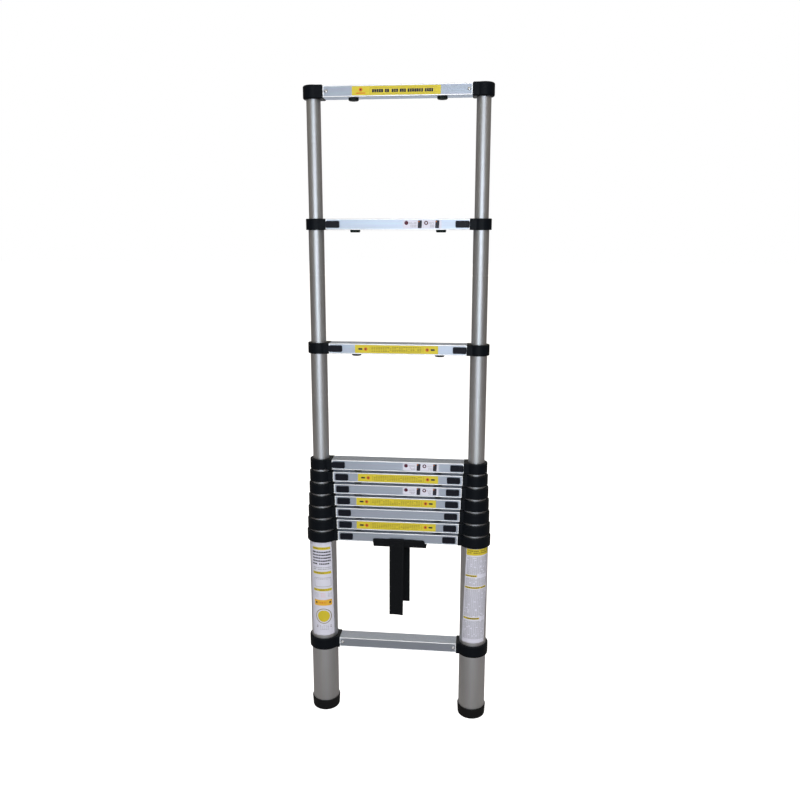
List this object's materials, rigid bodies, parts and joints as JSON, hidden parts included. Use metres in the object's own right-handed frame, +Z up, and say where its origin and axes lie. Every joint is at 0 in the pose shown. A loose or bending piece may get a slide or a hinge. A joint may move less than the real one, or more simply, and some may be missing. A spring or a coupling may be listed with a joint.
{
  "type": "telescoping ladder",
  "caption": "Telescoping aluminium ladder of nested stile tubes, partly extended, with moulded collars, rung bumpers, sliding lock buttons and a strap.",
  "frame": {"origin": "on the floor, midway between the two feet", "axes": "+Z up along the stile tubes, +X along the rungs to the ladder's right as seen from the button side, -Y towards the button side"},
  "size_m": [0.4766, 0.0804, 1.6004],
  "materials": {
    "tube_aluminium": "satin anodised",
    "rung_aluminium": "satin, extruded",
    "collar_nylon": "fine moulded texture",
    "button_nylon": "moulded, slightly glossier than the collars",
    "bumper_rubber": "matte",
    "foot_rubber": "matte",
    "strap_webbing": "woven polyester webbing",
    "label_yellow": "printed film",
    "label_white": "printed film",
    "screw_steel": "plated",
    "spring_steel": "drawn wire"
  },
  "bodies": {
    "root": {"stile_tubes_10": "tube_aluminium", "rung_10": "rung_aluminium", "collars_10": "collar_nylon", "rung_11": "rung_aluminium", "feet": "foot_rubber", "closure_strap": "strap_webbing"},
    "section_01": {"stile_tubes_01": "tube_aluminium", "rung_01": "rung_aluminium", "collars_01": "collar_nylon", "rung_bumpers_01": "bumper_rubber"},
    "section_02": {"stile_tubes_02": "tube_aluminium", "rung_02": "rung_aluminium", "collars_02": "collar_nylon", "rung_bumpers_02": "bumper_rubber"},
    "button_left_02": {"release_button_left_02": "button_nylon"},
    "button_right_02": {"release_button_right_02": "button_nylon"},
    "section_03": {"stile_tubes_03": "tube_aluminium", "rung_03": "rung_aluminium", "collars_03": "collar_nylon", "rung_bumpers_03": "bumper_rubber"},
    "button_left_03": {"release_button_left_03": "button_nylon"},
    "button_right_03": {"release_button_right_03": "button_nylon"},
    "section_04": {"stile_tubes_04": "tube_aluminium", "rung_04": "rung_aluminium", "collars_04": "collar_nylon", "rung_bumpers_04": "bumper_rubber"},
    "button_left_04": {"release_button_left_04": "button_nylon"},
    "button_right_04": {"release_button_right_04": "button_nylon"},
    "section_05": {"stile_tubes_05": "tube_aluminium", "rung_05": "rung_aluminium", "collars_05": "collar_nylon", "rung_bumpers_05": "bumper_rubber"},
    "button_left_05": {"release_button_left_05": "button_nylon"},
    "button_right_05": {"release_button_right_05": "button_nylon"},
    "section_06": {"stile_tubes_06": "tube_aluminium", "rung_06": "rung_aluminium", "collars_06": "collar_nylon", "rung_bumpers_06": "bumper_rubber"},
    "button_left_06": {"release_button_left_06": "button_nylon"},
    "button_right_06": {"release_button_right_06": "button_nylon"},
    "section_07": {"stile_tubes_07": "tube_aluminium", "rung_07": "rung_aluminium", "collars_07": "collar_nylon", "rung_bumpers_07": "bumper_rubber"},
    "button_left_07": {"release_button_left_07": "button_nylon"},
    "button_right_07": {"release_button_right_07": "button_nylon"},
    "section_08": {"stile_tubes_08": "tube_aluminium", "rung_08": "rung_aluminium", "collars_08": "collar_nylon", "rung_bumpers_08": "bumper_rubber"},
    "button_left_08": {"release_button_left_08": "button_nylon"},
    "button_right_08": {"release_button_right_08": "button_nylon"},
    "section_09": {"stile_tubes_09": "tube_aluminium", "rung_09": "rung_aluminium", "collars_09": "collar_nylon", "rung_bumpers_09": "bumper_rubber"},
    "button_left_09": {"release_button_left_09": "button_nylon"},
    "button_right_09": {"release_button_right_09": "button_nylon"},
    "button_left_10": {"release_button_left_10": "button_nylon"},
    "button_right_10": {"release_button_right_10": "button_nylon"}
  },
  "joints": [
    {"name": "section_09_slide", "type": "slide", "parent": "root", "child": "section_09", "axis": [0, 0, 1], "range_m": [0, 0.266]},
    {"name": "section_08_slide", "type": "slide", "parent": "section_09", "child": "section_08", "axis": [0, 0, 1], "range_m": [0, 0.266]},
    {"name": "section_07_slide", "type": "slide", "parent": "section_08", "child": "section_07", "axis": [0, 0, 1], "range_m": [0, 0.266]},
    {"name": "section_06_slide", "type": "slide", "parent": "section_07", "child": "section_06", "axis": [0, 0, 1], "range_m": [0, 0.266]},
    {"name": "section_05_slide", "type": "slide", "parent": "section_06", "child": "section_05", "axis": [0, 0, 1], "range_m": [0, 0.266]},
    {"name": "section_04_slide", "type": "slide", "parent": "section_05", "child": "section_04", "axis": [0, 0, 1], "range_m": [0, 0.266]},
    {"name": "section_03_slide", "type": "slide", "parent": "section_04", "child": "section_03", "axis": [0, 0, 1], "range_m": [-0.266, 0]},
    {"name": "section_02_slide", "type": "slide", "parent": "section_03", "child": "section_02", "axis": [0, 0, 1], "range_m": [-0.266, 0]},
    {"name": "section_01_slide", "type": "slide", "parent": "section_02", "child": "section_01", "axis": [0, 0, 1], "range_m": [-0.266, 0]},
    {"name": "button_left_02_press", "type": "slide", "parent": "section_02", "child": "button_left_02", "axis": [1, 0, 0], "range_m": [0, 0.006], "stiffness_N_per_m": 300, "springref_m": -0.008},
    {"name": "button_right_02_press", "type": "slide", "parent": "section_02", "child": "button_right_02", "axis": [-1, 0, 0], "range_m": [0, 0.006], "stiffness_N_per_m": 300, "springref_m": -0.008},
    {"name": "button_left_03_press", "type": "slide", "parent": "section_03", "child": "button_left_03", "axis": [1, 0, 0], "range_m": [0, 0.006], "stiffness_N_per_m": 300, "springref_m": -0.008},
    {"name": "button_right_03_press", "type": "slide", "parent": "section_03", "child": "button_right_03", "axis": [-1, 0, 0], "range_m": [0, 0.006], "stiffness_N_per_m": 300, "springref_m": -0.008},
    {"name": "button_left_04_press", "type": "slide", "parent": "section_04", "child": "button_left_04", "axis": [1, 0, 0], "range_m": [0, 0.006], "stiffness_N_per_m": 300, "springref_m": -0.008},
    {"name": "button_right_04_press", "type": "slide", "parent": "section_04", "child": "button_right_04", "axis": [-1, 0, 0], "range_m": [0, 0.006], "stiffness_N_per_m": 300, "springref_m": -0.008},
    {"name": "button_left_05_press", "type": "slide", "parent": "section_05", "child": "button_left_05", "axis": [1, 0, 0], "range_m": [-0.006, 0]},
    {"name": "button_right_05_press", "type": "slide", "parent": "section_05", "child": "button_right_05", "axis": [-1, 0, 0], "range_m": [-0.006, 0]},
    {"name": "button_left_06_press", "type": "slide", "parent": "section_06", "child": "button_left_06", "axis": [1, 0, 0], "range_m": [-0.006, 0]},
    {"name": "button_right_06_press", "type": "slide", "parent": "section_06", "child": "button_right_06", "axis": [-1, 0, 0], "range_m": [-0.006, 0]},
    {"name": "button_left_07_press", "type": "slide", "parent": "section_07", "child": "button_left_07", "axis": [1, 0, 0], "range_m": [-0.006, 0]},
    {"name": "button_right_07_press", "type": "slide", "parent": "section_07", "child": "button_right_07", "axis": [-1, 0, 0], "range_m": [-0.006, 0]},
    {"name": "button_left_08_press", "type": "slide", "parent": "section_08", "child": "button_left_08", "axis": [1, 0, 0], "range_m": [-0.006, 0]},
    {"name": "button_right_08_press", "type": "slide", "parent": "section_08", "child": "button_right_08", "axis": [-1, 0, 0], "range_m": [-0.006, 0]},
    {"name": "button_left_09_press", "type": "slide", "parent": "section_09", "child": "button_left_09", "axis": [1, 0, 0], "range_m": [-0.006, 0]},
    {"name": "button_right_09_press", "type": "slide", "parent": "section_09", "child": "button_right_09", "axis": [-1, 0, 0], "range_m": [-0.006, 0]},
    {"name": "button_left_10_press", "type": "slide", "parent": "root", "child": "button_left_10", "axis": [1, 0, 0], "range_m": [-0.006, 0]},
    {"name": "button_right_10_press", "type": "slide", "parent": "root", "child": "button_right_10", "axis": [-1, 0, 0], "range_m": [-0.006, 0]}
  ]
}
